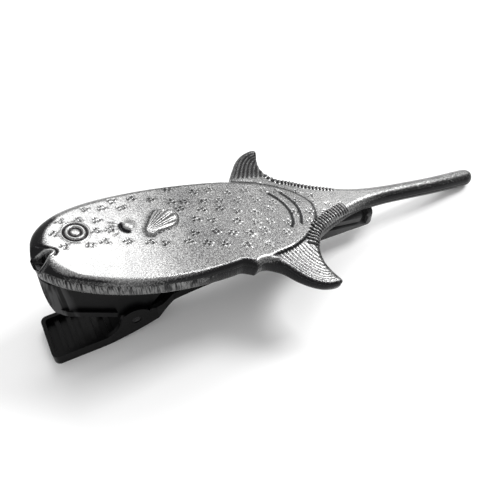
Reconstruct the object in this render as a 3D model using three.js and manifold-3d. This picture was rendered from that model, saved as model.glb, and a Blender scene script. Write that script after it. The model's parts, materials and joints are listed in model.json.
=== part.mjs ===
// A cast sunfish ornament standing on a black sprung clip.
// Millimetres, +Z up, +X from the mouth towards the tail. The clip's pivot pin lies along Y.
// The lower lever rests level; the fish and the upper lever share a frame pitched about the pin,
// head up, so that the tip of the tail rod meets the ground.
import * as THREE from 'three';
import { mergeVertices } from 'three/addons/utils/BufferGeometryUtils.js';
import Module from 'manifold-3d';

const wasm = await Module();
wasm.setup();

// ---- Driving dimensions ----
const PIN_HEIGHT = 5.0;            // pin axis above the ground
const PIN_RADIUS = 0.9;
const PIN_HOLE_RADIUS = 0.98;
const PIN_LENGTH = 10.0;

const MOUTH_X = -17.6;             // the fish's own X zero, in the pitched frame
const PLATE_UNDER = 15.2;          // underside of the casting above the pin, square to the plate
const PLATE_THICKNESS = 3.6;
const PLATE_ROUNDING = 0.9;
const FIN_RECESS = 0.9;            // how far the fins' faces lie inside the body's
const FIN_ROUNDING = 0.3;
const CROWN_RISE = 0.6;
// Each edge of the body: a superellipse from the snout to the widest place, an ellipse behind it.
const BACK = { side: 1, halfWidth: 11.7, widestX: 22, noseLength: 23.2, squareness: 2.6 };
const BELLY = { side: -1, halfWidth: 11.5, widestX: 25, noseLength: 26.2, squareness: 1.85 };
const RUMP_LENGTH = 38;
const FIN_BASE_X = 41;
const FIN_TIP = [51.5, 19.2];
const TAIL_RADIUS = 2.0;
const TAIL_TIP_X = 100.4;
const TAIL_ROOT_X = 62;
const EYE = [7.2, 3.4];
const EYE_RADIUS = 2.1;
const MOUTH_FLOOR = 1.3;           // what stays of the plate under the mouth's cleft
const RIDGE_COUNT = 16;            // along each margin between fin and tail

const TRAY_FRONT = -17.4;
const TRAY_HALF_WIDTH = 5.1;
const EAR_THICKNESS = 0.8;
const EAR_RADIUS = 3.3;
const TRAY_FLOOR = 1.0;
const TRAY_RIM = -2.4;
const TRAY_CORNER = 1.3;
const RIB_COUNT = 5;
const RIB_PITCH = 2.3;
const RIB_WIDTH = 0.9;
const ARM_HALF_WIDTH = 3.5;
const ARM_WALL = 0.8;
const ARM_TIP = 56.2;

const SHELL_FRONT = -18.2;         // at the top; the front wall slopes back below it
const SHELL_SLOPE = 2.6;
const SHELL_HALF_WIDTH = 4.1;
const SHELL_WALL = 0.9;
const SHELL_CORNER = 3.4;
const SHELL_REAR = 9.5;
const LUG_RADIUS = 2.2;
const FLANGE_OUT = 0.7;
const FLANGE_TALL = 1.3;
const FLANGE_END = -4.0;
const STRIP_THICKNESS = 1.2;
const STRIP_HALF_WIDTH = 3.2;
const STRIP_END = 51.2;
const GAP = 0.3;                   // between pieces that meet

const WIRE_RADIUS = 0.4;
const COIL_RADIUS = 1.7;           // to the middle of the wire
const COIL_PITCH = 0.95;
const COIL_TURNS = 4;

const SCREW_PLACES = { fixing_screw_front: -9.5, fixing_screw_rear: 30 };
const SCREW_RADIUS = 0.8;
const SCREW_HOLE_RADIUS = 1.1;
const SCREW_LENGTH = 3.6;
const SCREW_HEAD_RADIUS = 1.7;
const SCREW_HEAD_TALL = 0.9;

// ---- Derived places ----
const SHELL_TOP = PLATE_UNDER - GAP;
const STRIP_UNDER = SHELL_TOP - STRIP_THICKNESS;
const PLATE_TOP = PLATE_UNDER + PLATE_THICKNESS;
const TAIL_AXIS_Z = PLATE_UNDER + TAIL_RADIUS;
const TAIL_END_X = MOUTH_X + TAIL_TIP_X - TAIL_RADIUS;
// The tail's round end and the tray's floor stand on one plane.
const PITCH = Math.atan2(TAIL_AXIS_Z, TAIL_END_X)
  + Math.asin((PIN_HEIGHT - TAIL_RADIUS) / Math.hypot(TAIL_END_X, TAIL_AXIS_Z));

// ---- Materials ----
const castMetal = new THREE.MeshStandardMaterial({ color: 0x9a9997, roughness: 0.5, metalness: 0.9 });
const blackPlastic = new THREE.MeshStandardMaterial({ color: 0x131313, roughness: 0.42, metalness: 0 });
const steel = new THREE.MeshStandardMaterial({ color: 0x8b8d90, roughness: 0.35, metalness: 1 });

// ---- Solid helpers ----
function toSolid(source) {
  const geometry = source.index ? source : source.clone();
  geometry.deleteAttribute('normal');
  geometry.deleteAttribute('uv');
  const merged = mergeVertices(geometry, 1e-4);
  return new wasm.Manifold(new wasm.Mesh({
    numProp: 3,
    vertProperties: new Float32Array(merged.attributes.position.array),
    triVerts: new Uint32Array(merged.index.array),
  }));
}

function toGeometry(solid) {
  const cut = solid.getMesh();
  const geometry = new THREE.BufferGeometry();
  geometry.setAttribute('position', new THREE.BufferAttribute(cut.vertProperties, 3));
  geometry.setIndex(new THREE.BufferAttribute(cut.triVerts, 1));
  geometry.computeVertexNormals();
  return geometry;
}

function namedMesh(name, solid, material) {
  const mesh = new THREE.Mesh(toGeometry(solid), material);
  mesh.name = name;
  return mesh;
}

// A side outline in X and Z, carried across Y from -halfWidth to halfWidth.
function acrossY(shape, halfWidth) {
  const extent = { depth: 2 * halfWidth, bevelEnabled: false, curveSegments: 10 };
  const geometry = new THREE.ExtrudeGeometry(shape, extent);
  geometry.translate(0, 0, -halfWidth);
  geometry.rotateX(Math.PI / 2);
  return toSolid(geometry);
}

// A plan outline in X and Y, carried up from low to high.
function upZ(shape, low, high) {
  const extent = { depth: high - low, bevelEnabled: false, curveSegments: 10 };
  const geometry = new THREE.ExtrudeGeometry(shape, extent);
  geometry.translate(0, 0, low);
  return toSolid(geometry);
}

// The same, with its top and bottom edges rounded inside the outline.
function roundedUpZ(shape, low, high, rounding) {
  const geometry = new THREE.ExtrudeGeometry(shape, {
    depth: high - low - 2 * rounding,
    bevelThickness: rounding,
    bevelSize: rounding,
    bevelOffset: -rounding,
    bevelSegments: 3,
    curveSegments: 8,
  });
  geometry.translate(0, 0, low + rounding);
  return toSolid(geometry);
}

function box(x0, x1, halfY, z0, z1) {
  const geometry = new THREE.BoxGeometry(x1 - x0, 2 * halfY, z1 - z0);
  geometry.translate((x0 + x1) / 2, 0, (z0 + z1) / 2);
  return toSolid(geometry);
}

function cylinderY(radius, halfLength) {
  return toSolid(new THREE.CylinderGeometry(radius, radius, 2 * halfLength, 32));
}

function cylinderZ(radius, x, y, z0, z1, sides = 24) {
  const geometry = new THREE.CylinderGeometry(radius, radius, z1 - z0, sides);
  geometry.rotateX(Math.PI / 2);
  geometry.translate(x, y, (z0 + z1) / 2);
  return toSolid(geometry);
}

// A plan outline about the X axis: a body of one half-width that narrows to another, with round ends.
function taperedPlan(front, frontWidth, corner, shoulder, rear, rearWidth, tip, tipRound) {
  const shape = new THREE.Shape();
  shape.moveTo(front, 0);
  shape.lineTo(front, corner - frontWidth);
  shape.absarc(front + corner, corner - frontWidth, corner, Math.PI, 1.5 * Math.PI, false);
  shape.lineTo(shoulder, -frontWidth);
  shape.lineTo(rear, -rearWidth);
  shape.lineTo(tip - tipRound, -rearWidth);
  shape.absellipse(tip - tipRound, 0, tipRound, rearWidth, -Math.PI / 2, Math.PI / 2, false);
  shape.lineTo(rear, rearWidth);
  shape.lineTo(shoulder, frontWidth);
  shape.lineTo(front + corner, frontWidth);
  shape.absarc(front + corner, frontWidth - corner, corner, Math.PI / 2, Math.PI, false);
  return shape;
}

// ---- Fish ----
function bodyEdge(x, edge) {
  if (x < edge.widestX) {
    const u = (edge.widestX - x) / edge.noseLength;
    return edge.halfWidth * (1 - u ** edge.squareness) ** (1 / edge.squareness);
  }
  return edge.halfWidth * Math.sqrt(1 - ((x - edge.widestX) / RUMP_LENGTH) ** 2);
}

// One edge of the head and body as far as the fins, then the margin down to the tail rod.
function edgePoints(edge) {
  const points = [];
  const steps = 24;
  for (let i = 1; i <= steps; i += 1) {
    const ahead = Math.cos((i / steps) * (Math.PI / 2));
    const x = edge.widestX - edge.noseLength * ahead;
    points.push([x, bodyEdge(x, edge)]);
  }
  for (let x = edge.widestX + 4; x <= FIN_BASE_X + 6; x += 4) {
    points.push([x, bodyEdge(x, edge)]);
  }
  points.push([50.4, 8.7], [53.7, 6.9], [57, 5.7], [60, 4.6], [TAIL_ROOT_X + 3, 3.2], [TAIL_ROOT_X + 8, 2]);
  return points.map(([px, py]) => [px, edge.side * py]);
}

function bodyOutline() {
  const outline = new THREE.Shape();
  outline.moveTo(BACK.widestX - BACK.noseLength, 0);
  edgePoints(BACK).forEach(([x, y]) => outline.lineTo(x, y));
  edgePoints(BELLY).reverse().forEach(([x, y]) => outline.lineTo(x, y));
  return outline;
}

function finOutline(side) {
  const [tipX, tipY] = FIN_TIP;
  const shape = new THREE.Shape();
  const root = bodyEdge(FIN_BASE_X, BACK);
  shape.moveTo(FIN_BASE_X - 1, side * (root - 2));
  shape.lineTo(FIN_BASE_X, side * root);
  shape.bezierCurveTo(FIN_BASE_X + 2.5, side * 12.4, FIN_BASE_X + 4.6, side * 18.3, tipX - 1.6, side * tipY);
  shape.lineTo(tipX - 0.6, side * (tipY - 0.05));
  shape.lineTo(tipX, side * (tipY - 1));
  shape.bezierCurveTo(tipX - 1.4, side * 15.8, tipX - 2.8, side * 13.4, tipX - 0.9, side * 8.2);
  shape.lineTo(tipX - 2, side * 6.5);
  return shape;
}

// A round bar with a dome at its tip, merging into the tail root.
function tailRod() {
  const profile = [[0, TAIL_ROOT_X - 6], [TAIL_RADIUS * 0.8, TAIL_ROOT_X - 4], [TAIL_RADIUS, TAIL_ROOT_X + 6]]
    .map(([radius, along]) => new THREE.Vector2(radius, along));
  const steps = 6;
  for (let i = 0; i <= steps; i += 1) {
    const turn = (i / steps) * (Math.PI / 2);
    const along = TAIL_TIP_X - TAIL_RADIUS + TAIL_RADIUS * Math.sin(turn);
    profile.push(new THREE.Vector2(i === steps ? 0 : TAIL_RADIUS * Math.cos(turn), along));
  }
  const geometry = new THREE.LatheGeometry(profile, 24);
  geometry.rotateZ(-Math.PI / 2);
  geometry.translate(0, 0, TAIL_AXIS_Z);
  return toSolid(geometry);
}

// A low dome on the body's upper face.
function crown() {
  const geometry = new THREE.SphereGeometry(1, 40, 16);
  geometry.rotateX(Math.PI / 2);
  geometry.scale(26, 10.6, 2 + CROWN_RISE);
  geometry.translate(27, 0, PLATE_TOP - 2);
  return toSolid(geometry).intersect(upZ(bodyOutline(), PLATE_UNDER + 1, PLATE_TOP + 2));
}

function eye() {
  const [x, y] = EYE;
  const ring = new THREE.TorusGeometry(EYE_RADIUS - 0.4, 0.4, 8, 32);
  ring.translate(x, y, PLATE_TOP + 0.35);
  const pupil = new THREE.SphereGeometry(0.8, 16, 8);
  pupil.translate(x, y, PLATE_TOP + 0.3);
  return toSolid(ring).add(toSolid(pupil));
}

// The open mouth is a cleft cut down from the upper face and out through the snout.
function mouthCleft() {
  const shape = new THREE.Shape();
  shape.moveTo(-4, 2.4);
  shape.quadraticCurveTo(0.4, 2.2, 2.2, 0);
  shape.quadraticCurveTo(0.4, -1.6, -4, -2.8);
  return upZ(shape, PLATE_UNDER + MOUTH_FLOOR, PLATE_TOP + 2);
}

// The raised pectoral fin behind the gill.
function sideFin() {
  const shape = new THREE.Shape();
  shape.moveTo(19.6, -0.2);
  shape.quadraticCurveTo(19.6, 1.8, 23.1, 4.9);
  shape.quadraticCurveTo(26.6, 4.7, 26.2, 2.1);
  shape.quadraticCurveTo(24.8, -0.1, 19.6, -0.2);
  return upZ(shape, PLATE_TOP - 1, PLATE_TOP + CROWN_RISE + 0.5);
}

// Short ridges square to the margin behind each fin.
function marginRidges() {
  const [start, end] = [new THREE.Vector2(50.6, 8.3), new THREE.Vector2(60.4, 4.2)];
  const slope = Math.atan2(end.y - start.y, end.x - start.x);
  let ridges = null;
  for (const side of [-1, 1]) {
    for (let i = 0; i < RIDGE_COUNT; i += 1) {
      const place = start.clone().lerp(end, i / (RIDGE_COUNT - 1));
      const geometry = new THREE.BoxGeometry(0.34, 1.5, 1);
      geometry.rotateZ(side * slope);
      geometry.translate(place.x, side * (place.y - 0.5), PLATE_TOP - FIN_RECESS + 0.3);
      ridges = ridges ? ridges.add(toSolid(geometry)) : toSolid(geometry);
    }
  }
  return ridges;
}

function fishPlate() {
  let fish = roundedUpZ(bodyOutline(), PLATE_UNDER, PLATE_TOP, PLATE_ROUNDING);
  for (const side of [-1, 1]) {
    fish = fish.add(roundedUpZ(finOutline(side), PLATE_UNDER + 0.2, PLATE_TOP - FIN_RECESS, FIN_ROUNDING));
  }
  fish = fish.add(tailRod()).add(crown()).add(marginRidges()).add(sideFin()).add(eye());
  fish = fish.subtract(mouthCleft()).translate([MOUTH_X, 0, 0]);
  for (const x of Object.values(SCREW_PLACES)) {
    fish = fish.subtract(cylinderZ(SCREW_HOLE_RADIUS, x, 0, PLATE_UNDER - 1, PLATE_UNDER + SCREW_LENGTH - 1));
  }
  return fish;
}

// ---- Upper lever: a shell under the head, lugs on the pin and a jaw strip under the body ----
const RIM_FRONT = [SHELL_FRONT + SHELL_SLOPE, 6.9];
const RIM_REAR = [-4.2, 2.3];

function rimHeight(x) {
  const along = (x - RIM_FRONT[0]) / (RIM_REAR[0] - RIM_FRONT[0]);
  return RIM_FRONT[1] + along * (RIM_REAR[1] - RIM_FRONT[1]);
}

function shellSide() {
  const shape = new THREE.Shape();
  shape.moveTo(SHELL_FRONT, SHELL_TOP);
  shape.quadraticCurveTo(SHELL_FRONT + 0.7, SHELL_TOP - 5, ...RIM_FRONT);
  shape.lineTo(...RIM_REAR);
  shape.lineTo(-2.1, 0.9);
  shape.absarc(0, 0, LUG_RADIUS, Math.PI - 0.4, 2 * Math.PI + 0.3, false);
  shape.lineTo(SHELL_REAR - 1, STRIP_UNDER - 1);
  shape.quadraticCurveTo(SHELL_REAR, STRIP_UNDER, SHELL_REAR + 1.5, STRIP_UNDER);
  shape.lineTo(STRIP_END, STRIP_UNDER);
  shape.lineTo(STRIP_END, SHELL_TOP);
  return shape;
}

function flangeSide() {
  const shape = new THREE.Shape();
  const front = RIM_FRONT[0] - FLANGE_OUT;
  shape.moveTo(front, rimHeight(front));
  shape.lineTo(FLANGE_END, rimHeight(FLANGE_END));
  shape.lineTo(FLANGE_END, rimHeight(FLANGE_END) + FLANGE_TALL);
  shape.lineTo(front, rimHeight(front) + FLANGE_TALL);
  return shape;
}

// Cross teeth on the strip's tip.
function stripTeeth() {
  let teeth = null;
  for (let i = 0; i < 4; i += 1) {
    const x = STRIP_END - 1.2 - 1.5 * i;
    const tooth = box(x - 0.35, x + 0.35, STRIP_HALF_WIDTH - 0.4, STRIP_UNDER - 0.35, STRIP_UNDER + 0.5);
    teeth = teeth ? teeth.add(tooth) : tooth;
  }
  return teeth;
}

function upperLever() {
  const plan = taperedPlan(SHELL_FRONT, SHELL_HALF_WIDTH, SHELL_CORNER, SHELL_REAR - 1, SHELL_REAR + 3,
    STRIP_HALF_WIDTH, STRIP_END, 1.5);
  const flangePlan = taperedPlan(RIM_FRONT[0] - FLANGE_OUT, SHELL_HALF_WIDTH + FLANGE_OUT,
    SHELL_CORNER, 0, 1, STRIP_HALF_WIDTH, 10, 1.5);
  const insidePlan = taperedPlan(SHELL_FRONT + SHELL_SLOPE + SHELL_WALL, SHELL_HALF_WIDTH - SHELL_WALL,
    SHELL_CORNER - SHELL_WALL, 40, 41, STRIP_HALF_WIDTH, 60, 1.5);
  const bodySolid = acrossY(shellSide(), 8).intersect(upZ(plan, -5, SHELL_TOP + 1));
  const flange = acrossY(flangeSide(), 8).intersect(upZ(flangePlan, -5, SHELL_TOP + 1));
  let lever = bodySolid.add(flange).subtract(upZ(insidePlan, -5, STRIP_UNDER));
  lever = lever.add(stripTeeth()).subtract(cylinderY(PIN_HOLE_RADIUS, 8));
  for (const x of Object.values(SCREW_PLACES)) {
    lever = lever.subtract(cylinderZ(SCREW_HOLE_RADIUS, x, 0, STRIP_UNDER - 1, SHELL_TOP + 1));
  }
  return lever;
}

// ---- Lower lever: a ribbed finger tray, ears on the pin and a long jaw arm ----
function traySide() {
  const shape = new THREE.Shape();
  shape.moveTo(TRAY_FRONT, TRAY_RIM);
  shape.lineTo(TRAY_FRONT, -PIN_HEIGHT);
  shape.lineTo(-7, -PIN_HEIGHT);
  shape.bezierCurveTo(-3, -PIN_HEIGHT + 0.4, 2.5, -3.2, 5.4, -1.9);
  shape.quadraticCurveTo(7, -0.8, 10, -0.4);
  shape.bezierCurveTo(20, 0.6, 40, 0.5, ARM_TIP - 2.4, -0.6);
  shape.quadraticCurveTo(ARM_TIP, -0.9, ARM_TIP, 1.8);
  shape.lineTo(ARM_TIP - 0.6, 2.1);
  shape.lineTo(ARM_TIP - 5, 3);
  shape.bezierCurveTo(42, 5, 30, 4, 12, 2.2);
  shape.lineTo(6.1, 1);
  shape.lineTo(3.1, 2);
  shape.absarc(0, 0, EAR_RADIUS, 0.35, Math.PI - 0.1, false);
  shape.quadraticCurveTo(-4.6, TRAY_RIM, -7, TRAY_RIM);
  return shape;
}

// The hollow above the floor of the tray and the arm.
function traySideHollow() {
  const shape = new THREE.Shape();
  shape.moveTo(TRAY_FRONT - 1, 12);
  shape.lineTo(TRAY_FRONT - 1, -PIN_HEIGHT + TRAY_FLOOR);
  shape.lineTo(-7, -PIN_HEIGHT + TRAY_FLOOR);
  shape.bezierCurveTo(-3, -PIN_HEIGHT + 1.3, 2.2, -2.4, 5, -1);
  shape.quadraticCurveTo(7, 0.2, 10, 0.6);
  shape.bezierCurveTo(20, 1.6, 40, 1.5, ARM_TIP - 2.4, 0.3);
  shape.quadraticCurveTo(ARM_TIP - 1, 0.3, ARM_TIP - 0.9, 12);
  return shape;
}

function trayRibs() {
  let ribs = null;
  for (let i = 0; i < RIB_COUNT; i += 1) {
    const x = TRAY_FRONT + 2.9 + RIB_PITCH * i;
    const [halfRib, reach] = [RIB_WIDTH / 2, TRAY_HALF_WIDTH - EAR_THICKNESS / 2];
    const floor = -PIN_HEIGHT + TRAY_FLOOR;
    const rib = box(x - halfRib, x + halfRib, reach, floor - 0.4, floor + 0.6);
    ribs = ribs ? ribs.add(rib) : rib;
  }
  return ribs;
}

// What the closed strip and its teeth need above the arm's tip.
function stripClearance() {
  return box(6, STRIP_END + 0.5, 8, STRIP_UNDER - 0.35 - GAP, STRIP_UNDER + 20)
    .add(box(STRIP_END - 2, ARM_TIP + 5, 8, PLATE_UNDER - GAP, PLATE_UNDER + 20))
    .rotate([0, THREE.MathUtils.radToDeg(PITCH), 0]);
}

function lowerLever() {
  const plan = taperedPlan(TRAY_FRONT, TRAY_HALF_WIDTH, TRAY_CORNER, 4.5, 8.5, ARM_HALF_WIDTH, ARM_TIP, 2.6);
  const hollowPlan = taperedPlan(TRAY_FRONT + EAR_THICKNESS, TRAY_HALF_WIDTH - EAR_THICKNESS,
    TRAY_CORNER - EAR_THICKNESS + 0.3, 4, 8, ARM_HALF_WIDTH - ARM_WALL, ARM_TIP - ARM_WALL, 1.9);
  const outside = acrossY(traySide(), 8).intersect(upZ(plan, -8, 8));
  const hollow = acrossY(traySideHollow(), 8).intersect(upZ(hollowPlan, -8, 20));
  const lever = outside.subtract(hollow).add(trayRibs()).subtract(stripClearance());
  return lever.subtract(cylinderY(PIN_HOLE_RADIUS, 8));
}

// ---- Pin, spring and screws ----
function pivotPin() {
  const half = PIN_LENGTH / 2;
  const profile = [[0, -half + 0.3], [0.45, -half], [PIN_RADIUS, -half], [PIN_RADIUS, half], [0.45, half],
    [0, half - 0.3]].map(([radius, along]) => new THREE.Vector2(radius, along));
  return toSolid(new THREE.LatheGeometry(profile, 32));
}

function pitched(x, z) {
  return [x * Math.cos(PITCH) + z * Math.sin(PITCH), z * Math.cos(PITCH) - x * Math.sin(PITCH)];
}

// One leg lies along the tray, the coil turns round the pin and the other leg rises to the shell's roof.
function torsionSpring() {
  const trayLeg = new THREE.Vector2(-6.6, -3.1);
  const roofLeg = new THREE.Vector2(...pitched(-7.4, STRIP_UNDER - WIRE_RADIUS - GAP - 0.3));
  const tangent = Math.acos(COIL_RADIUS / roofLeg.length());
  const firstAngle = trayLeg.angle() + Math.acos(COIL_RADIUS / trayLeg.length());
  const lastAngle = roofLeg.angle() - tangent + 2 * Math.PI * COIL_TURNS;
  const width = COIL_PITCH * (lastAngle - firstAngle) / (2 * Math.PI);
  const points = [new THREE.Vector3(trayLeg.x, width / 2, trayLeg.y)];
  const steps = 18 * COIL_TURNS;
  for (let i = 0; i <= steps; i += 1) {
    const angle = firstAngle + (lastAngle - firstAngle) * (i / steps);
    points.push(new THREE.Vector3(COIL_RADIUS * Math.cos(angle), width * (0.5 - i / steps),
      COIL_RADIUS * Math.sin(angle)));
  }
  points.push(new THREE.Vector3(roofLeg.x, -width / 2, roofLeg.y));
  const section = new THREE.Shape();
  section.absarc(0, 0, WIRE_RADIUS, 0, 2 * Math.PI, false);
  const wire = new THREE.CatmullRomCurve3(points, false, 'centripetal');
  return toSolid(new THREE.ExtrudeGeometry(section, { steps: 110, curveSegments: 4, extrudePath: wire }));
}

function fixingScrew(x) {
  const headTop = STRIP_UNDER - 0.05;
  const head = cylinderZ(SCREW_HEAD_RADIUS, x, 0, headTop - SCREW_HEAD_TALL, headTop);
  const shank = cylinderZ(SCREW_RADIUS, x, 0, headTop - 0.3, headTop + SCREW_LENGTH, 16);
  const slot = box(x - 0.2, x + 0.2, 1.1, headTop - 2, headTop - 0.5);
  const cross = box(x - 1.1, x + 1.1, 0.2, headTop - 2, headTop - 0.5);
  return head.add(shank).subtract(slot).subtract(cross);
}

// ---- Assembly ----
const fishSide = new THREE.Group();
fishSide.rotation.y = PITCH;
fishSide.add(namedMesh('fish_plate', fishPlate(), castMetal));
fishSide.add(namedMesh('upper_lever', upperLever(), blackPlastic));
for (const [name, x] of Object.entries(SCREW_PLACES)) {
  fishSide.add(namedMesh(name, fixingScrew(x), steel));
}

const object = new THREE.Group();
object.add(fishSide);
object.add(namedMesh('lower_lever', lowerLever(), blackPlastic));
object.add(namedMesh('pivot_pin', pivotPin(), steel));
object.add(namedMesh('torsion_spring', torsionSpring(), steel));

// The origin is the middle of the footprint, on the ground.
object.updateMatrixWorld(true);
const bounds = new THREE.Box3().setFromObject(object, true);
const middle = bounds.getCenter(new THREE.Vector3());
object.position.set(-middle.x, -middle.y, -bounds.min.z);

export default object;
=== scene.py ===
"""A cast sunfish ornament on a black sprung clip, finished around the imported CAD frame."""
import json
import math

import bpy
import numpy as np
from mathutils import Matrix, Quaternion, Vector
from mathutils.geometry import delaunay_2d_cdt
from mathutils.kdtree import KDTree


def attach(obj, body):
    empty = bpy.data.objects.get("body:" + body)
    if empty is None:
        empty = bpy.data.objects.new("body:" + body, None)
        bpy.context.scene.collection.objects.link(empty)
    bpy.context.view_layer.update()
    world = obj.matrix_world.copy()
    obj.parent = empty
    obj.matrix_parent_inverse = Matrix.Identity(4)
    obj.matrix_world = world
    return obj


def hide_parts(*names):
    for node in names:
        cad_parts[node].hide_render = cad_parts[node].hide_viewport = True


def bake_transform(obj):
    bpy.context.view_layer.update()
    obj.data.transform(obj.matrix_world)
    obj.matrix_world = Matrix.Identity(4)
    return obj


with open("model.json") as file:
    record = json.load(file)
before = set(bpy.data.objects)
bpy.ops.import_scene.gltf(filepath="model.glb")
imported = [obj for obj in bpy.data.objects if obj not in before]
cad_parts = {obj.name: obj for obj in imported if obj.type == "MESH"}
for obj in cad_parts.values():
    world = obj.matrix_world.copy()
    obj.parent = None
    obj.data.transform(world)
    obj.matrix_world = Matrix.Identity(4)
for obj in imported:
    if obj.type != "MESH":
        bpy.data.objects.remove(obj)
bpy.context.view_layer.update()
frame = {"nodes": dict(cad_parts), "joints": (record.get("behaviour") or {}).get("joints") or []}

MM = 0.001
PIN = Vector(frame["joints"][0]["pos_m"])

# ---- The fish's own sizes, in millimetres: X from the mouth, Y towards the dorsal fin ----
MOUTH_X = -17.6                    # the fish's X zero, from the pin
PLATE_UNDER = 15.2                 # underside of the casting above the pin
PARTING_HEIGHT = 2.8               # where the rim's parting line runs, above the underside
BODY_HALF = {1: 11.7, -1: 11.5}    # 1 is the dorsal side, -1 the belly side
BODY_WIDEST = {1: 22.0, -1: 25.0}
NOSE_LENGTH = {1: 23.2, -1: 26.2}
NOSE_POWER = {1: 2.6, -1: 1.85}
RUMP_LENGTH = {1: 38.0, -1: 30.0}
TAIL_RADIUS = 2.0
TAIL_TIP = 100.4
TAIL_BEND = 0.5                    # how far the tip bends towards the dorsal side
ROD_STARTS, ROD_ROUND = 56, 70     # the flat plate turns into the round rod between these
TAIL_AXIS = PLATE_UNDER + TAIL_RADIUS
TAIL_END = MOUTH_X + TAIL_TIP - TAIL_RADIUS
PIN_TO_TAIL = math.hypot(TAIL_END, TAIL_AXIS)
PITCH = math.atan2(TAIL_AXIS, TAIL_END) + math.asin((PIN.z / MM - TAIL_RADIUS) / PIN_TO_TAIL)

EDGE_STEP = 0.15                   # spacing of the outline's vertices
FACE_STEP = 0.21                   # spacing of the vertices inside it
FINE_STEP = 0.14                   # and where the relief is fine
BASE_STEP = 0.9                    # and on the flat underside


def pitched(points):
    """Points about the pin in the fish's pitched frame, in millimetres, as metres in the shared frame."""
    x, y, z = points[:, 0], points[:, 1], points[:, 2]
    across = x * math.cos(PITCH) + z * math.sin(PITCH)
    up = z * math.cos(PITCH) - x * math.sin(PITCH)
    return np.stack([across, y, up], 1) * MM + np.array(PIN)


# ---- Curves and distances ----
def resample(line, step):
    length = np.concatenate([[0], np.cumsum(np.linalg.norm(np.diff(line, axis=0), axis=1))])
    places = np.linspace(0, length[-1], max(2, round(length[-1] / step) + 1))
    return np.stack([np.interp(places, length, line[:, k]) for k in range(line.shape[1])], 1)


def spline(points, step):
    """Even points along a smooth curve through the given ones."""
    p = np.array(points, float)
    p = np.vstack([2 * p[0] - p[1], p, 2 * p[-1] - p[-2]])
    t = np.linspace(0, 1, 20, endpoint=False)[:, None]
    runs = []
    for a, b, c, d in zip(p, p[1:], p[2:], p[3:]):
        runs.append(0.5 * (2 * b + (c - a) * t + (2 * a - 5 * b + 4 * c - d) * t ** 2
                           + (3 * b - a - 3 * c + d) * t ** 3))
    runs.append(p[-2:-1])
    return resample(np.vstack(runs), step)


def near(points, line):
    """Each point's distance to a line of short even steps, and how far along it the nearest place is."""
    tree = KDTree(len(line))
    for i, (x, y) in enumerate(line):
        tree.insert((x, y, 0), i)
    tree.balance()
    corner = np.array([tree.find((x, y, 0))[1] for x, y in points], int)
    run = np.diff(line, axis=0)
    length = np.linalg.norm(run, axis=1)
    before = np.concatenate([[0], np.cumsum(length)[:-1]])
    distance, along = np.full(len(points), np.inf), np.zeros(len(points))
    ring = np.allclose(line[0], line[-1])
    for shift in (-1, 0):
        k = (corner + shift) % len(run) if ring else np.clip(corner + shift, 0, len(run) - 1)
        off = points - line[k]
        t = np.clip((off * run[k]).sum(1) / length[k] ** 2, 0, 1)
        gap = np.linalg.norm(off - t[:, None] * run[k], axis=1)
        closer = gap < distance
        distance = np.where(closer, gap, distance)
        along = np.where(closer, before[k] + t * length[k], along)
    return distance, along


def apart(points, place):
    return np.linalg.norm(points - place, axis=1)


def line_length(line):
    return np.linalg.norm(np.diff(line, axis=0), axis=1).sum()


def inside(points, ring):
    """True for the points within a closed ring."""
    x, y = points[:, 0], points[:, 1]
    odd = np.zeros(len(points), bool)
    for (ax, ay), (bx, by) in zip(ring, np.roll(ring, -1, axis=0)):
        crosses = (ay > y) != (by > y)
        if crosses.any():
            odd[crosses] ^= x[crosses] < ax + (y[crosses] - ay) * (bx - ax) / (by - ay)
    return odd


def outward(ring):
    run = np.roll(ring, -1, axis=0) - np.roll(ring, 1, axis=0)
    normal = np.stack([run[:, 1], -run[:, 0]], 1)
    return normal / np.linalg.norm(normal, axis=1)[:, None]


def ramp(low, high, value):
    """A smooth step from 0 at low to 1 at high; low may be the greater of the two."""
    t = np.clip((value - low) / (high - low), 0, 1)
    return t * t * (3 - 2 * t)


def ridge(distance, width):
    """A smooth hump, 1 in the middle."""
    return np.exp(-(distance / width) ** 2)


def rod_share(x):
    """0 on the flat plate, rising to 1 where the tail is a round rod."""
    return ramp(ROD_STARTS, ROD_ROUND, x)


# ---- The fish's outline ----
BACK_FIN = [(42.0, 11.7), (43.7, 14.0), (45.6, 16.4), (47.7, 18.2), (50.0, 19.2), (51.3, 19.3), (51.8, 18.6),
            (50.7, 16.0), (50.0, 13.6), (50.0, 11.3), (51.2, 8.9)]
BELLY_FIN = [(42.6, 13.4), (44.3, 15.6), (46.2, 17.4), (48.3, 18.7), (50.3, 19.2), (52.0, 19.1), (52.4, 18.4),
             (51.6, 16.2), (51.0, 13.9), (51.2, 11.6), (52.0, 9.9)]
FINS = {1: BACK_FIN, -1: BELLY_FIN}
MARGIN = [(53.9, 7.5), (57.0, 5.8), (60.0, 4.6), (63.4, 3.5), (67.0, 2.75), (71.0, 2.25), (75.0, 2.0),
          (80.0, 1.92), (88.0, 1.9), (96.0, 1.95), (98.6, 1.85), (99.9, 1.2), (100.4, 0.0)]
VENT_SPUR = [(34.6, 10.9), (36.0, 11.5), (36.9, 12.0), (37.7, 11.75), (38.6, 11.45), (39.8, 11.6),
             (41.0, 12.2)]
SNOUT = [(-1.05, -1.1), (-1.2, 0.0), (-1.2, 1.2)]
BELLY_STATIONS = (-0.6, 0.6, 2.5, 5, 8, 12, 16, 20, 25, 30, 33)
BACK_STATIONS = (-1.0, -0.5, 0.6, 2.5, 5, 8, 12, 16, 20, 25, 30, 35, 39, 41)
TEETH_PITCH = 0.74                 # of the ridges along the margins
FLUTE_DEPTH = 0.05                 # how far those ridges wave the outline


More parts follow.
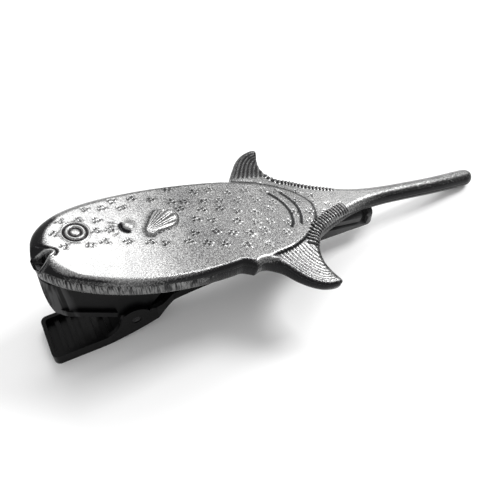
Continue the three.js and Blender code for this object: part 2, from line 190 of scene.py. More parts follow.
def body_edge(x, side):
    """The body's half width at X on one side."""
    if x < BODY_WIDEST[side]:
        u = (BODY_WIDEST[side] - x) / NOSE_LENGTH[side]
        return BODY_HALF[side] * (1 - u ** NOSE_POWER[side]) ** (1 / NOSE_POWER[side])
    return BODY_HALF[side] * math.sqrt(max(0, 1 - ((x - BODY_WIDEST[side]) / RUMP_LENGTH[side]) ** 2))


def outline():
    """The closed outline, anticlockwise from the snout round by the belly, the tail and the back."""
    belly = [(x, -body_edge(x, -1)) for x in BELLY_STATIONS]
    belly += [(x, -y) for x, y in VENT_SPUR + BELLY_FIN + MARGIN]
    back = [(x, body_edge(x, 1)) for x in BACK_STATIONS]
    back += BACK_FIN + MARGIN[:-1]
    return spline(SNOUT + belly + back[::-1] + SNOUT[-1:], EDGE_STEP)[:-1]


OUTLINE = outline()
MARGIN_LINE = {s: spline([(x, s * y) for x, y in FINS[s][-2:] + MARGIN[:4]], 0.1) for s in (1, -1)}


def flute(points, out):
    """Waves the outline in and out where the margin's ridges run over its edge."""
    waved = points.copy()
    for line in MARGIN_LINE.values():
        away, along = near(points, line)
        held = (away < 0.25) * ramp(0.6, 2.0, along) * ramp(0, 1.5, line_length(line) - along)
        waved += out * (FLUTE_DEPTH * held * np.cos(2 * math.pi * along / TEETH_PITCH))[:, None]
    return waved


# ---- Relief of the upper face: heights and widths in millimetres ----
OUTER_ARC = [(40.0, 9.9), (42.8, 9.0), (46.6, 7.6), (50.0, 5.9), (53.1, 3.4), (54.8, 0.7), (55.0, -1.25),
             (54.2, -3.8), (52.3, -6.1), (49.2, -8.4), (45.5, -10.0), (40.0, -10.9)]
INNER_ARCS = ([(47.1, 4.4), (48.3, 2.5), (49.0, 0.6), (49.2, -1.6), (48.7, -3.9), (47.7, -5.1)],
              [(49.8, 4.0), (50.9, 1.7), (51.4, -0.6), (51.1, -2.8), (50.2, -4.7)])
EYE = (7.15, 3.45)
EYE_RINGS = [(1.02, -0.3, 0.19), (1.56, 0.12, 0.25), (2.05, -0.34, 0.2), (2.45, 0.06, 0.18),
             (2.72, -0.07, 0.15)]
GILL = (16.8, 2.7)
GILL_CRESCENT_MIDDLE = 3.55        # radians round from the tail's direction
GILL_CREASES = 19                  # in a full turn
SIDE_FIN = [(19.3, -0.5), (19.2, 0.7), (20.1, 2.1), (21.5, 4.0), (22.9, 5.15), (24.7, 5.05), (26.2, 4.2),
            (26.6, 2.5), (25.7, 0.8), (23.8, 0.0), (21.6, -0.3), (20.3, -0.9)]
SIDE_FIN_ROOT = (18.4, -0.3)
SIDE_FIN_RAY = 0.19                # radians from ray to ray
SPOT_PITCH = 3.6
ROW_PITCH = 2.9
ROW_SLOPE = -0.25
PIT_DEPTH = 0.2
BURR_HEIGHT, BURR_WIDTH, BURR_PLACE = 0.12, 0.28, (0.3, -0.2)
CLEFT = [(-2.4, -0.5), (-0.4, -0.35), (1.0, -0.1), (2.0, 0.05)]
CLEFT_HALF, CLEFT_TAPER = 1.95, 0.4
MOUTH_CREASE = [(0.2, 2.35), (1.4, 1.45), (2.75, 0.5), (2.95, 0.0), (2.5, -0.6)]
RAY_PITCH = {1: 0.86, -1: 0.72}    # at the fin's base; it narrows outwards
TEETH_REACH = {1: 1.8, -1: 2.9}    # in from the margin


def spots(draw):
    """Centres of the rosettes: loose staggered rows slanting over the flank, clear of the other features."""
    found = []
    for row in range(-1, 7):
        for column in range(17):
            x = 1.0 + SPOT_PITCH * (column + 0.5 * (row % 2)) + draw.uniform(-0.8, 0.8)
            y = 1.4 + ROW_PITCH * row + ROW_SLOPE * (x - 4) + draw.uniform(-0.6, 0.6)
            half = body_edge(x, 1 if y > 0 else -1) if x < 50 else 8.2 - 0.5 * (x - 50)
            at_eye = math.dist((x, y), EYE) < 3.1
            at_gill = math.dist((x, y), GILL) < 2.7
            at_side_fin = 18.4 < x < 27.4 and -1.2 < y < 6.0
            at_mouth = x < 3.6 and y < 2.4
            if row < 0 and x < 36 or x > 60 or abs(y) > half - 1.2:
                continue
            if not (at_eye or at_gill or at_side_fin or at_mouth):
                found.append((x, y))
    return found


def spot_relief(p):
    """Rosettes: three or four small pits in a shallow dish, each pit with a burr on its far side."""
    draw = np.random.default_rng(7)
    height = np.zeros(len(p))
    for x, y in spots(draw):
        turn, count = draw.uniform(0, 2 * math.pi), draw.integers(3, 5)
        reach, pit_width = draw.uniform(0.4, 0.68, 4), draw.uniform(0.18, 0.26, 4)
        close = np.abs(p - (x, y)).max(1) < 2.0
        if close.any():
            q = p[close]
            local = -0.05 * ridge(apart(q, (x, y)), 0.8)
            for k in range(count):
                a = turn + k * 2 * math.pi / count
                pit = np.array((x + 1.1 * reach[k] * math.cos(a), y + 0.8 * reach[k] * math.sin(a)))
                local += BURR_HEIGHT * ridge(apart(q - pit, BURR_PLACE), BURR_WIDTH)
                local -= PIT_DEPTH * ridge(apart(q, pit), pit_width[k])
            height[close] += local
    return height


def eye_relief(p):
    """Rings, each with a radius, a height and a width, round a low dome."""
    r = apart(p, EYE)
    dome = 0.1 * ridge(apart(p, (EYE[0] + 0.15, EYE[1] - 0.1)), 0.55)
    return dome + sum(height * ridge(r - radius, width) for radius, height, width in EYE_RINGS)


def gill_relief(p):
    """A dome with a deep crescent on its front and lower side, and fine creases fanned ahead of it."""
    r = apart(p, GILL)
    angle = np.arctan2(p[:, 1] - GILL[1], p[:, 0] - GILL[0])
    turned = np.abs((angle - GILL_CRESCENT_MIDDLE + math.pi) % (2 * math.pi) - math.pi)
    crescent = 0.5 * ramp(1.35, 0.6, turned) * ridge(r - 1.45, 0.36)
    ahead = ramp(1.0, 0.3, np.abs(np.abs(angle) - math.pi)) * ridge(r - 3.0, 0.75)
    creases = 0.13 * ahead * (0.5 + 0.5 * np.cos(angle * GILL_CREASES))
    return 0.26 * ridge(r, 0.95) - crescent - creases


def side_fin_relief(p):
    """The raised side fin with its rays, in a groove that is deeper ahead of it."""
    ring = spline(SIDE_FIN + SIDE_FIN[:1], 0.15)
    edge, _ = near(p, ring)
    within = inside(p, ring)
    raised = 0.42 * np.where(within, ramp(0, 0.35, edge), 0)
    angle = np.arctan2(p[:, 1] - SIDE_FIN_ROOT[1], p[:, 0] - SIDE_FIN_ROOT[0])
    rays = 0.13 * np.cos(angle * 2 * math.pi / SIDE_FIN_RAY) * within * ramp(0.35, 0.8, edge)
    ahead = ramp(23.5, 21.0, p[:, 0])
    return raised + rays - (0.06 * ridge(edge, 0.2) + 0.05 * ahead * ridge(edge, 0.6)) * ~within


def ray_relief(p, share):
    """Fine rays beside the leading edge of the two upright fins; share is how far out a point is."""
    height = np.zeros(len(p))
    for side in (1, -1):
        leading = spline([(39.0, side * 8.0)] + [(x, side * y) for x, y in FINS[side][:6]], 0.3)
        here = (share > 0.02) & (p[:, 1] * side > 0)
        front, _ = near(p[here], leading)
        place = (front / (RAY_PITCH[side] - 0.03 * (np.abs(p[here, 1]) - 10))) % 1 - 0.5
        wave = 0.26 * ridge(place, 0.2) - 0.13 if side > 0 else 0.03 - 0.075 * ridge(place, 0.22)
        height[here] += wave * ramp(0.5, 1.0, front)
    return height * ramp(0.02, 0.2, share)


def tooth_relief(p):
    """Ridges square to the margin between each upright fin and the tail."""
    height = np.zeros(len(p))
    for side, line in MARGIN_LINE.items():
        away, along = near(p, line)
        reach = TEETH_REACH[side]
        held = ramp(0.5, 1.6, along) * ramp(0.3, 1.5, line_length(line) - along)
        wave = np.tanh(2.2 * np.cos(2 * math.pi * along / TEETH_PITCH))
        height += held * ramp(reach, reach - 0.4, away) * ramp(0.1, 0.4, away) * (0.22 * wave - 0.08)
    return height


def mouth_share(p):
    """1 inside the open mouth, 0 outside its lips."""
    away, along = near(p, spline(CLEFT, 0.1))
    return ramp(1.0, 0.72, away / np.maximum(CLEFT_HALF - CLEFT_TAPER * along, 0.25))


def lip_share(p):
    """1 along the top of the lips round the cleft, 0 away from them."""
    away, along = near(p, spline(CLEFT, 0.1))
    return ridge(away - (CLEFT_HALF - CLEFT_TAPER * along) - 0.3, 0.3) * (p[:, 0] < 3)


def mouth_relief(p):
    """The lips round the cleft, and the crease at its corner."""
    return 0.28 * lip_share(p) - 0.4 * ridge(near(p, spline(MOUTH_CREASE, 0.1))[0], 0.2)


def arc_side(p):
    """Distance beyond the arc that closes the body, negative on the body."""
    arc = spline(OUTER_ARC, 0.3)
    away, _ = near(p, arc)
    return np.where((p[:, 0] < 40.5) | inside(p, arc), -away, away)


def beyond_body(p):
    """Distance out from the body's flank on either upright fin."""
    return (np.abs(p[:, 1]) - (10.3 - 0.14 * (p[:, 0] - 41))) * (p[:, 0] > 39.5) * (p[:, 0] < 53.2)


def fin_share(p):
    """0 on the body, rising to 1 well out on either upright fin."""
    return ramp(-0.3, 2.5, beyond_body(p)) * ramp(39.5, 42, p[:, 0])


def parting(p):
    """Height of the parting line above the casting's underside; it dips below the open mouth."""
    flat = PARTING_HEIGHT - 1.0 * ramp(0, 9, beyond_body(p)) - 1.3 * ramp(3.2, 1.7, apart(p, (-1.6, -0.5)))
    return flat + (TAIL_RADIUS - flat) * rod_share(p[:, 0])


# ---- The two faces of the casting; edge is a point's distance in from the outline ----
BODY_ROUNDING = 1.25               # how far in the upper face's rounded edge reaches
BACK_FIN_ROUNDING = 0.7
UNDER_ROUNDING = 0.7
CROWN = 0.28                       # rise of the upper face's middle
ARC_DEPTH = 0.18
MOUTH_FLOOR = 1.35                 # above the underside


def body_rounding(p):
    """The rounded edge widens round the snout, and a little along the back of the head."""
    return BODY_ROUNDING + 1.9 * ramp(6, 0, p[:, 0]) + 0.6 * ramp(24, 12, p[:, 0]) * (p[:, 1] > 0)


def smooth_top(p, edge, fin, beyond):
    """The upper face without its relief, above the parting line."""
    x, rod = p[:, 0], rod_share(p[:, 0])
    width = body_rounding(p)
    on_fin = np.maximum(fin, ramp(-1, 1, beyond) * (x > 40)) * (1 - rod)
    width = width + (np.where(p[:, 1] > 0, BACK_FIN_ROUNDING, BODY_ROUNDING) - width) * on_fin
    width = width + (TAIL_RADIUS - width) * rod
    rise = 1.25 - 0.35 * ramp(-0.3, 0.6, beyond) * ramp(40, 43, x) - 0.3 * fin
    rise = rise + (TAIL_RADIUS - 0.1 - rise) * rod
    dome = np.sqrt(1 - (1 - np.clip(edge / width, 0, 1)) ** 2)
    return rise * dome + CROWN * ramp(0, 9, edge) * (1 - rod)


def relief(p, edge, fin, dots, arc):
    """All the raised and cut detail; dots is the rosettes' part of it, and arc the outer arc's depth."""
    detail = dots + eye_relief(p) + gill_relief(p) + side_fin_relief(p) + mouth_relief(p)
    detail += ray_relief(p, fin) + tooth_relief(p) - arc
    for inner in INNER_ARCS:
        detail -= 0.2 * ridge(near(p, spline(inner, 0.2))[0], 0.3)
    detail -= 0.16 * ridge(edge - 0.42, 0.14) * (p[:, 1] < -3) * ramp(12, 8, p[:, 0])
    return detail * ramp(0.0, 0.4, edge + 0.12)


def patina_and_shade(p, edge, fin, recess):
    """How dark the colour lies: patina in the recesses, and painted shade round the head's edge, on the
    snout, along the belly's edge, on the fins, over the flank and under the rod, lightened by a painted
    highlight on the lips.
    """
    x, y = p[:, 0], p[:, 1]
    rod = rod_share(x)
    belly = y < 0
    # painted shade along the upper face's edge
    rim = 0.35 * ramp(0.6, 0.0, edge)
    # painted shade on the upright fins, and on the belly fin's leading edge below
    fins = np.where(belly, 0.16, 0.22) * ramp(0.1, 0.6, fin)
    fin_front = 0.15 * belly * fin * ramp(1.1, 0.4, edge) * (x < 51)
    # painted shade on the snout and along the head's front edge above it
    snout = 0.75 * ramp(3.2, 0.4, x) + 0.9 * ramp(2.3, 1.4, edge) * ramp(6.5, 3.5, x) * (y > 1)
    # painted shade along the belly's edge, lighter behind the head and deepest towards the vent
    belly_edge = belly * (0.4 - 0.18 * ramp(5, 12, x) + 0.5 * ramp(24, 33, x))
    belly_edge = belly_edge * ramp(1.4, 0.3, edge) * ramp(38, 35, x)
    # painted shade over the middle of the body, deepest near X 29
    flank = 0.34 * ramp(12, 23, x) * ramp(62, 52, x) + 0.13 * ridge(x - 29, 7)
    # painted shade on the rod and the tail's end, darkest along the rod's belly side
    tail = 0.1 * rod + 0.25 * ramp(66, 74, x) + 0.45 * belly * rod * ramp(1.7, 0.7, edge)
    # the lips are lifted out of the snout's painted shade as a painted highlight
    head = snout + belly_edge - 0.8 * lip_share(p) ** 3
    # the recess term is the casting's patina in its hollows; the terms added to it are painted shade
    return 0.9 * np.clip(5 * recess, 0, 1) + rim + fins + fin_front + head + flank + tail


def upper_face(p, edge):
    """Height above the underside, and how dark the colour lies there: patina in the recesses and the mouth,
    painted shade and a painted highlight elsewhere.
    """
    fin, beyond, dots, open_mouth = fin_share(p), arc_side(p), spot_relief(p), mouth_share(p)
    arc = ARC_DEPTH * ridge(beyond, 0.36) * ramp(39, 42, p[:, 0])
    detail = relief(p, edge, fin, dots, arc)
    top = parting(p) + smooth_top(p, edge, fin, beyond) + detail
    height = top + (np.minimum(top, MOUTH_FLOOR) - top) * open_mouth
    recess = (0.3 + 0.2 * ramp(16, 26, p[:, 0])) * dots - 0.25 * arc - detail
    dark = patina_and_shade(p, edge, fin, recess)
    return height, np.clip(np.maximum(dark, 0.9 * open_mouth), 0, 1)


def lower_face(p, edge):
    """The back of the casting: flat, with rounded corners, and round on the rod."""
    rod = rod_share(p[:, 0])
    width = UNDER_ROUNDING + (TAIL_RADIUS - UNDER_ROUNDING) * rod
    t = 1 - np.clip(edge / width, 0, 1)
    square = (1 - t ** 3.5) ** (1 / 3.5)
    circle = np.sqrt(1 - t ** 2)
    height = parting(p) * (1 - (square + (circle - square) * rod))
    # painted shade on the underside and its edge, deepening towards the tail
    return height, 0.3 + 0.2 * ramp(0.4, 1.5, edge) + 0.65 * ramp(20, 32, p[:, 0])


# ---- Meshes ----
FINE_ZONES = ((EYE, 2.8), (GILL, 3.2), ((22.8, 2.2), 4.7), ((1.0, 0.5), 3.2))    # eye, gill, side fin, mouth
TOP_INSETS = (0.03, 0.08, 0.16, 0.28, 0.44)    # shares of the rounded edge's width
BASE_INSETS = (0.02, 0.08, 0.2, 0.4, 0.7)
SEAM_INSET = 0.14                  # the parting line lies this far in from the two faces' edges
SEAM_HALF = 0.11                   # and each edge this far above or below it


def detailed(p):
    """True where the relief is too fine for the lattice that serves elsewhere."""
    zone = beyond_body(p) > -0.5
    for centre, reach in FINE_ZONES:
        zone |= apart(p, centre) < reach
    for line in MARGIN_LINE.values():
        zone |= near(p, line)[0] < 3.0
    return zone


def hexagonal(ring, step):
    """A hexagonal lattice over the ring's inside."""
    low, high = ring.min(0), ring.max(0)
    rows = np.arange(low[1], high[1], step * 0.866)
    points = np.array([(x + (i % 2) * step / 2, y) for i, y in enumerate(rows)
                       for x in np.arange(low[0], high[0], step)])
    return points[inside(points, ring)]


def filled(ring, normals, insets, widths, step, fine_step):
    """Vertices and triangles over the ring's inside: insets follow the edge, and lattices fill the rest.

    The third value says which vertex each point of the ring became.
    """
    closed = np.vstack([ring, ring[:1]])
    layers = [ring]
    for share in insets:
        moved = ring - normals * (widths * share)[:, None]
        gap, _ = near(moved, closed)
        layers.append(moved[(gap > 0.93 * widths * share) & inside(moved, ring)])
    lattice = hexagonal(ring, step)
    if fine_step:
        fine = hexagonal(ring, fine_step)
        lattice = np.vstack([lattice[~detailed(lattice)], fine[detailed(fine)]])
    gap, along = near(lattice, closed)
    stations = np.linspace(0, line_length(closed), len(ring))
    limit = np.interp(along, stations, widths) * insets[-1] + step * 0.4
    points = np.vstack(layers + [lattice[gap > limit]])
    edges = [(i, (i + 1) % len(ring)) for i in range(len(ring))]
    made = delaunay_2d_cdt([Vector(p) for p in points], edges, [], 1, 1e-5)
    verts = np.array([tuple(v) for v in made[0]])
    place = {source: new for new, sources in enumerate(made[3]) for source in sources}
    return verts, np.array(made[2]), np.array([place[i] for i in range(len(ring))])


def make_object(name, verts, faces, body, values):
    """A smooth mesh, with its named values per vertex, that rides on a body if one is named."""
    mesh = bpy.data.meshes.new(name)
    mesh.from_pydata(verts.tolist(), [], [tuple(int(i) for i in f) for f in faces])
    mesh.validate()
    mesh.shade_smooth()
    for key, column in values.items():
        mesh.attributes.new(key, "FLOAT", "POINT").data.foreach_set("value", column.astype(np.float32))
    piece = bpy.data.objects.new(name, mesh)
    bpy.context.scene.collection.objects.link(piece)
    if body:
        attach(piece, body)
    return piece


def rim_widths(ring):
    """How far in from each place of the outline the rounding of the upper and the lower face reaches."""
    rod = rod_share(ring[:, 0])
    soft = np.where(ring[:, 0] > 40.5, 0.75, body_rounding(ring))
    return soft + (TAIL_RADIUS - soft) * rod, UNDER_ROUNDING + (TAIL_RADIUS - UNDER_ROUNDING) * rod


def make_fish():
    """The casting: an upper and a lower face, joined round the rim through the parting line."""
    ring = flute(OUTLINE, outward(OUTLINE))
    normals = outward(ring)
    closed = np.vstack([ring, ring[:1]])
    soft, under = rim_widths(ring)
    top, top_faces, top_ring = filled(ring, normals, TOP_INSETS, soft, FACE_STEP, FINE_STEP)
    base, base_faces, base_ring = filled(ring, normals, BASE_INSETS, under, BASE_STEP, None)
    top_z, top_dark = upper_face(top, near(top, closed)[0])
    base_edge = near(base, closed)[0]
    base_z, base_dark = lower_face(base, base_edge)
    top_z[top_ring] += SEAM_HALF
    base_z[base_ring] -= SEAM_HALF
    flat = np.vstack([top, base, ring - normals * SEAM_INSET])
    height = np.concatenate([top_z, base_z, parting(ring)])
    dark = np.concatenate([top_dark, base_dark, np.full(len(ring), 0.9)])
    wall = np.concatenate([np.isin(np.arange(len(top)), top_ring), base_edge < 0.6, np.ones(len(ring))])
    bend = TAIL_BEND * ramp(86, 102, flat[:, 0])
    verts = np.stack([flat[:, 0] + MOUTH_X, flat[:, 1] + bend, height + PLATE_UNDER], 1)
    seam_ring = np.arange(len(ring)) + len(top) + len(base)
    faces = top_faces.tolist() + (base_faces[:, ::-1] + len(top)).tolist()
    for upper, lower in ((top_ring, seam_ring), (seam_ring, base_ring + len(top))):
        faces += np.stack([lower, np.roll(lower, -1), np.roll(upper, -1), upper], 1).tolist()
    fish = make_object("fish_casting", pitched(verts), faces, "fish_side", {"patina_and_shade": dark, "wall": wall})
    fish.data.materials.append(cast_metal())
    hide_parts("fish_plate")


# ---- The spring on the pin, in millimetres from the pin ----
WIRE_RADIUS = 0.4
COIL_RADIUS = 1.7
COIL_TURNS = 4
COIL_PITCH = 0.95
TRAY_LEG = (-6.6, -3.1)            # X and Z of the leg's end on the lower lever
ROOF_PLACE = (-7.4, 12.7)          # and of the other one's under the shell's roof, before the pitch
ROOF_LEG = (ROOF_PLACE[0] * math.cos(PITCH) + ROOF_PLACE[1] * math.sin(PITCH),
            ROOF_PLACE[1] * math.cos(PITCH) - ROOF_PLACE[0] * math.sin(PITCH))


def leg_angle(leg):
    return math.atan2(leg[1], leg[0])


def tangent_angle(leg):
    """The angle at the coil's middle between a leg's end and where that leg leaves the coil."""
    return math.acos(COIL_RADIUS / math.hypot(*leg))


def spring_path():
    """The wire's middle, from the tray round the coil to the shell's roof, and half the coil's length."""
    first = leg_angle(TRAY_LEG) + 2 * math.pi + tangent_angle(TRAY_LEG)
    last = leg_angle(ROOF_LEG) - tangent_angle(ROOF_LEG) + 2 * math.pi * COIL_TURNS
    half = COIL_PITCH * (last - first) / (4 * math.pi)
    share = np.linspace(0, 1, 60 * COIL_TURNS)
    angle = first + (last - first) * share
    coil = np.stack([COIL_RADIUS * np.cos(angle), half * (1 - 2 * share), COIL_RADIUS * np.sin(angle)], 1)
    tray = np.array([[TRAY_LEG[0], half, TRAY_LEG[1]]])
    roof = np.array([[ROOF_LEG[0], -half, ROOF_LEG[1]]])
    tray_leg = [tray + (coil[:1] - tray) * t for t in np.linspace(0, 0.97, 12)]
    roof_leg = [coil[-1:] + (roof - coil[-1:]) * t for t in np.linspace(0.03, 1, 20)]
    return np.vstack(tray_leg + [coil] + roof_leg), half


def tube(path, radius, sides=20):
    """A closed round tube along a path that never runs along Y."""
    run = np.gradient(path, axis=0)
    run /= np.linalg.norm(run, axis=1)[:, None]
    side = np.cross(run, (0, 1, 0))
    side /= np.linalg.norm(side, axis=1)[:, None]
    over = np.cross(side, run)
    turns = np.linspace(0, 2 * math.pi, sides, endpoint=False)
    rings = [path + radius * (side * math.cos(a) + over * math.sin(a)) for a in turns]
    verts = np.vstack([np.stack(rings, 1).reshape(-1, 3), path[:1], path[-1:]])
    count = len(path)
    faces = []
    for i in range(count - 1):
        for k in range(sides):
            a, b = i * sides + k, i * sides + (k + 1) % sides
            faces.append((a, b, b + sides, a + sides))
    last = (count - 1) * sides
    for k in range(sides):
        faces.append((count * sides, (k + 1) % sides, k))
        faces.append((count * sides + 1, last + k, last + (k + 1) % sides))
    return verts, faces


def make_spring(material):
    path, half = spring_path()
    verts, faces = tube(path, WIRE_RADIUS)
    spring = make_object("spring_wire", verts * MM + np.array(PIN), faces, None, {})
    spring.data.materials.append(material)
    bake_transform(spring)
    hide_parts("torsion_spring")


# ---- Materials: colours are linear, and bump distances and places are in metres ----
METAL_BARE = ((0.27, 0.27, 0.27), (0.35, 0.349, 0.345))
METAL_SPECK = (0.13, 0.13, 0.129)
# the dark colour of both the recess patina and the painted shade
METAL_PATINA_AND_SHADE = (0.014, 0.014, 0.0145)
PLASTIC = ((0.0015, 0.0015, 0.0017), (0.003, 0.003, 0.0031))
# the colour of the painted reflection and the painted highlight on the clip
PLASTIC_PAINTED_SHEEN = (0.055, 0.055, 0.056)
SHELL_FRONT_X = (-0.0432, -0.0450)    # a painted reflection lightens the shell's front wall between these
SHELL_FRONT_Z = (0.010, 0.012)        # above the finger tray
ARM_TIP_X = (0.006, 0.014)            # and a painted highlight lightens the arm's tip between these
PIN_STEEL = ((0.02, 0.02, 0.021), (0.045, 0.045, 0.046))
SPRING_STEEL = ((0.30, 0.30, 0.31), (0.45, 0.45, 0.46))


def new_material(name, **values):
    """A Principled material with its constants on the shader's own sockets."""
    material = bpy.data.materials.new(name)
    material.use_nodes = True
    shader = material.node_tree.nodes["Principled BSDF"]
    for socket, value in values.items():
        shader.inputs[socket.replace("_", " ")].default_value = value
    return material, material.node_tree, shader


def add(tree, kind, links=None, **settings):
    """A node with its properties set and its inputs filled by other nodes' outputs or by numbers."""
    made = tree.nodes.new(kind)
    for key, value in settings.items():
        setattr(made, key, value)
    for key, value in (links or {}).items():
        if isinstance(value, bpy.types.NodeSocket):
            tree.links.new(value, made.inputs[key])
        else:
            made.inputs[key].default_value = value
    return made


def noise(tree, where, scale, detail, rough=0.6):
    links = {"Vector": where, "Scale": scale, "Detail": detail, "Roughness": rough}
    return add(tree, "ShaderNodeTexNoise", links).outputs["Fac"]


def spread(tree, value, low, high, out_low=0.0, out_high=1.0):
    """The value's range from low to high, mapped to the out range and held at its ends."""
    links = {"Value": value, "From Min": low, "From Max": high, "To Min": out_low, "To Max": out_high}
    return add(tree, "ShaderNodeMapRange", links).outputs["Result"]


def maths(tree, operation, a, b):
    return add(tree, "ShaderNodeMath", {0: a, 1: b}, operation=operation).outputs[0]


def upright(tree, where, squash):
    """Places squashed along Z, so that a noise on them makes upright streaks."""
    return add(tree, "ShaderNodeVectorMath", {0: where, 1: (1, 1, squash)}, operation="MULTIPLY").outputs[0]


def mixed_colour(tree, share, a, b):
    made = tree.nodes.new("ShaderNodeMix")
    made.data_type = "RGBA"
    tree.links.new(share, made.inputs[0])
    for index, value in ((6, a), (7, b)):    # the colour sockets, which share their names with others
        if isinstance(value, bpy.types.NodeSocket):
            tree.links.new(value, made.inputs[index])
        else:
            made.inputs[index].default_value = (*value, 1)
    return made.outputs[2]


def bump(tree, shader, height, distance, strength, under=None):
    """A bump on the shader's normal, over another bump if one is given."""
    links = {"Height": height, "Distance": distance, "Strength": strength}
    if under is not None:
        links["Normal"] = under
    out = add(tree, "ShaderNodeBump", links).outputs["Normal"]
    tree.links.new(out, shader.inputs["Normal"])
    return out


def cast_metal():
    """Gritty grey casting: patina in the recesses, painted shade over the snout, the rim, the fins, the flank
    and the rod, bare on the high places, and painted shade streaked down the rim wall.
    """
    material, tree, shader = new_material("cast_metal", Metallic=0.9)
    where = add(tree, "ShaderNodeTexCoord").outputs["Object"]
    # per vertex: the recess patina together with the painted shade
    laid = add(tree, "ShaderNodeAttribute", attribute_name="patina_and_shade").outputs["Fac"]
    wall = add(tree, "ShaderNodeAttribute", attribute_name="wall").outputs["Fac"]
    grit = noise(tree, where, 3600, 3, 0.7)
    cloud = noise(tree, where, 190, 4)
    streaks = noise(tree, upright(tree, where, 0.1), 3200, 2)
    # painted shade on the rim wall, broken into upright streaks of filing marks
    rim = maths(tree, "MULTIPLY", wall, spread(tree, streaks, 0.58, 0.40, 0.42, 0.85))
    stain_and_shade = maths(tree, "ADD", laid, spread(tree, grit, 0.3, 0.7, 0.25, -0.25))
    stain_and_shade = maths(tree, "MAXIMUM", stain_and_shade, rim)
    bare = mixed_colour(tree, spread(tree, cloud, 0.35, 0.7), *METAL_BARE)
    speckled = mixed_colour(tree, spread(tree, grit, 0.52, 0.42, 0.0, 0.45), bare, METAL_SPECK)
    colour = mixed_colour(tree, spread(tree, stain_and_shade, 0.15, 0.8), speckled, METAL_PATINA_AND_SHADE)
    tree.links.new(colour, shader.inputs["Base Color"])
    tree.links.new(spread(tree, grit, 0.3, 0.7, 0.18, 0.29), shader.inputs["Roughness"])
    coarse = bump(tree, shader, cloud, 0.0002, 0.25)
    lines = bump(tree, shader, maths(tree, "MULTIPLY", wall, streaks), 0.0002, 0.6, coarse)
    bump(tree, shader, grit, 0.00004, 0.9, lines)
    return material


def black_plastic():
    """Satin black, lighter with a painted reflection in upright bands at the shell's front corners and with a
    painted highlight all over the arm's tip.
    """
    material, tree, shader = new_material("black_plastic", Specular_IOR_Level=0.09)
    where = add(tree, "ShaderNodeTexCoord").outputs["Object"]
    place = add(tree, "ShaderNodeSeparateXYZ", {"Vector": where}).outputs
    fine = noise(tree, where, 1500, 3)
    cloud = noise(tree, where, 120, 3)
    above_tray = spread(tree, place["Z"], *SHELL_FRONT_Z)
    front = maths(tree, "MULTIPLY", spread(tree, place["X"], *SHELL_FRONT_X), above_tray)
    bands = spread(tree, noise(tree, upright(tree, where, 0.05), 800, 2), 0.46, 0.56)
    # painted highlight on the arm's tip
    tip = spread(tree, place["X"], *ARM_TIP_X)
    # painted reflection on the shell's front, painted highlight on the arm's tip
    painted_sheen = maths(tree, "MAXIMUM", maths(tree, "MULTIPLY", front, bands), tip)
    black = mixed_colour(tree, spread(tree, cloud, 0.35, 0.7), *PLASTIC)
    tree.links.new(mixed_colour(tree, painted_sheen, black, PLASTIC_PAINTED_SHEEN), shader.inputs["Base Color"])
    tree.links.new(spread(tree, fine, 0.3, 0.7, 0.30, 0.42), shader.inputs["Roughness"])
    bump(tree, shader, fine, 0.00003, 0.5)
    return material


def steel(name, shades):
    material, tree, shader = new_material(name, Metallic=1.0)
    where = add(tree, "ShaderNodeTexCoord").outputs["Object"]
    fine = noise(tree, where, 1800, 3)
    colour = mixed_colour(tree, spread(tree, noise(tree, where, 300, 3), 0.35, 0.7), *shades)
    tree.links.new(colour, shader.inputs["Base Color"])
    tree.links.new(spread(tree, fine, 0.3, 0.7, 0.24, 0.42), shader.inputs["Roughness"])
    bump(tree, shader, fine, 0.00002, 0.5)
    return material


EDGE_SOFTNESS = 0.00022            # metres, on the CAD pieces


def dress(node, material):
    """Gives a CAD node its finish and softens its edges."""
    piece = frame["nodes"][node]
    piece.data.materials.clear()
    piece.data.materials.append(material)
    flat = piece.modifiers.new("merge_flat", "DECIMATE")
    flat.decimate_type = "DISSOLVE"
    flat.angle_limit = math.radians(1)
    soft = piece.modifiers.new("soft_edges", "BEVEL")
    soft.width = EDGE_SOFTNESS
    soft.segments = 2
    soft.limit_method = "ANGLE"
    soft.angle_limit = math.radians(35)
    soft.harden_normals = False


# ---- Stage ----
CAMERA_AZIMUTH, CAMERA_ELEVATION, CAMERA_ROLL = -24.88, 53.77, -0.41
CAMERA_TARGET = PIN + Vector((0.02907, 0.00411, -PIN.z))
CAMERA_DISTANCE = 0.15439
CAMERA_LENS, CAMERA_SENSOR = 50.4, 36
LIGHTS = {                         # towards the light, its size in metres, its power
    "window": ((0.25, 0.60, 0.76), (0.34, 0.36), 1.9),
    "key": ((0.66, 0.08, 0.75), (0.22, 0.22), 3.3),
    "rear": ((0.75, 0.51, 0.42), (0.22, 0.22), 0.3),
}
LIGHT_DISTANCE = 0.7
WORLD_STRENGTH = 0.75
FLOOR_HALF = 3.0


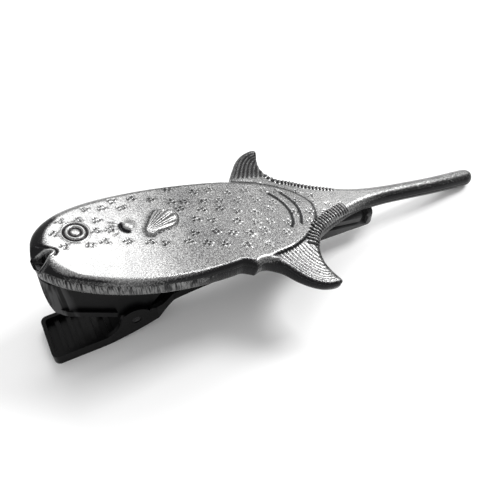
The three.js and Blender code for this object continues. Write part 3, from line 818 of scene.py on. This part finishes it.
def make_camera():
    data = bpy.data.cameras.new("camera")
    data.lens, data.sensor_width = CAMERA_LENS, CAMERA_SENSOR
    data.clip_start, data.clip_end = 0.005, 20
    camera = bpy.data.objects.new("camera", data)
    a, e = math.radians(CAMERA_AZIMUTH), math.radians(CAMERA_ELEVATION)
    back = Vector((math.sin(a) * math.cos(e), -math.cos(a) * math.cos(e), math.sin(e)))
    roll = Quaternion((0, 0, 1), math.radians(CAMERA_ROLL))
    camera.location = CAMERA_TARGET + back * CAMERA_DISTANCE
    camera.rotation_mode = "QUATERNION"
    camera.rotation_quaternion = (-back).to_track_quat("-Z", "Y") @ roll
    bpy.context.scene.collection.objects.link(camera)
    bpy.context.scene.camera = camera


def make_light(name, towards, size, power):
    data = bpy.data.lights.new(name, "AREA")
    data.shape, data.size, data.size_y, data.energy = "RECTANGLE", *size, power
    light = bpy.data.objects.new(name, data)
    direction = Vector(towards).normalized()
    light.location = direction * LIGHT_DISTANCE
    light.rotation_mode = "QUATERNION"
    light.rotation_quaternion = direction.to_track_quat("Z", "Y")
    bpy.context.scene.collection.objects.link(light)


def make_floor():
    mesh = bpy.data.meshes.new("floor")
    corners = [(x * FLOOR_HALF, y * FLOOR_HALF, 0) for x, y in ((-1, -1), (1, -1), (1, 1), (-1, 1))]
    mesh.from_pydata(corners, [], [(0, 1, 2, 3)])
    floor = bpy.data.objects.new("floor", mesh)
    mesh.materials.append(new_material("floor", Base_Color=(0.9, 0.9, 0.9, 1), Roughness=0.6)[0])
    bpy.context.scene.collection.objects.link(floor)


def make_world():
    world = bpy.data.worlds.new("world")
    world.use_nodes = True
    background = world.node_tree.nodes["Background"]
    background.inputs["Color"].default_value = (1, 1, 1, 1)
    background.inputs["Strength"].default_value = WORLD_STRENGTH
    bpy.context.scene.world = world
    bpy.context.scene.view_settings.view_transform = "Standard"


make_camera()
make_floor()
make_world()
for light_name, (towards, size, power) in LIGHTS.items():
    make_light(light_name, towards, size, power)
make_fish()
plastic = black_plastic()
for lever in ("upper_lever", "lower_lever"):
    dress(lever, plastic)
plated = steel("pin_steel", PIN_STEEL)
make_spring(steel("spring_steel", SPRING_STEEL))
for part in ("pivot_pin", "fixing_screw_front", "fixing_screw_rear"):
    dress(part, plated)
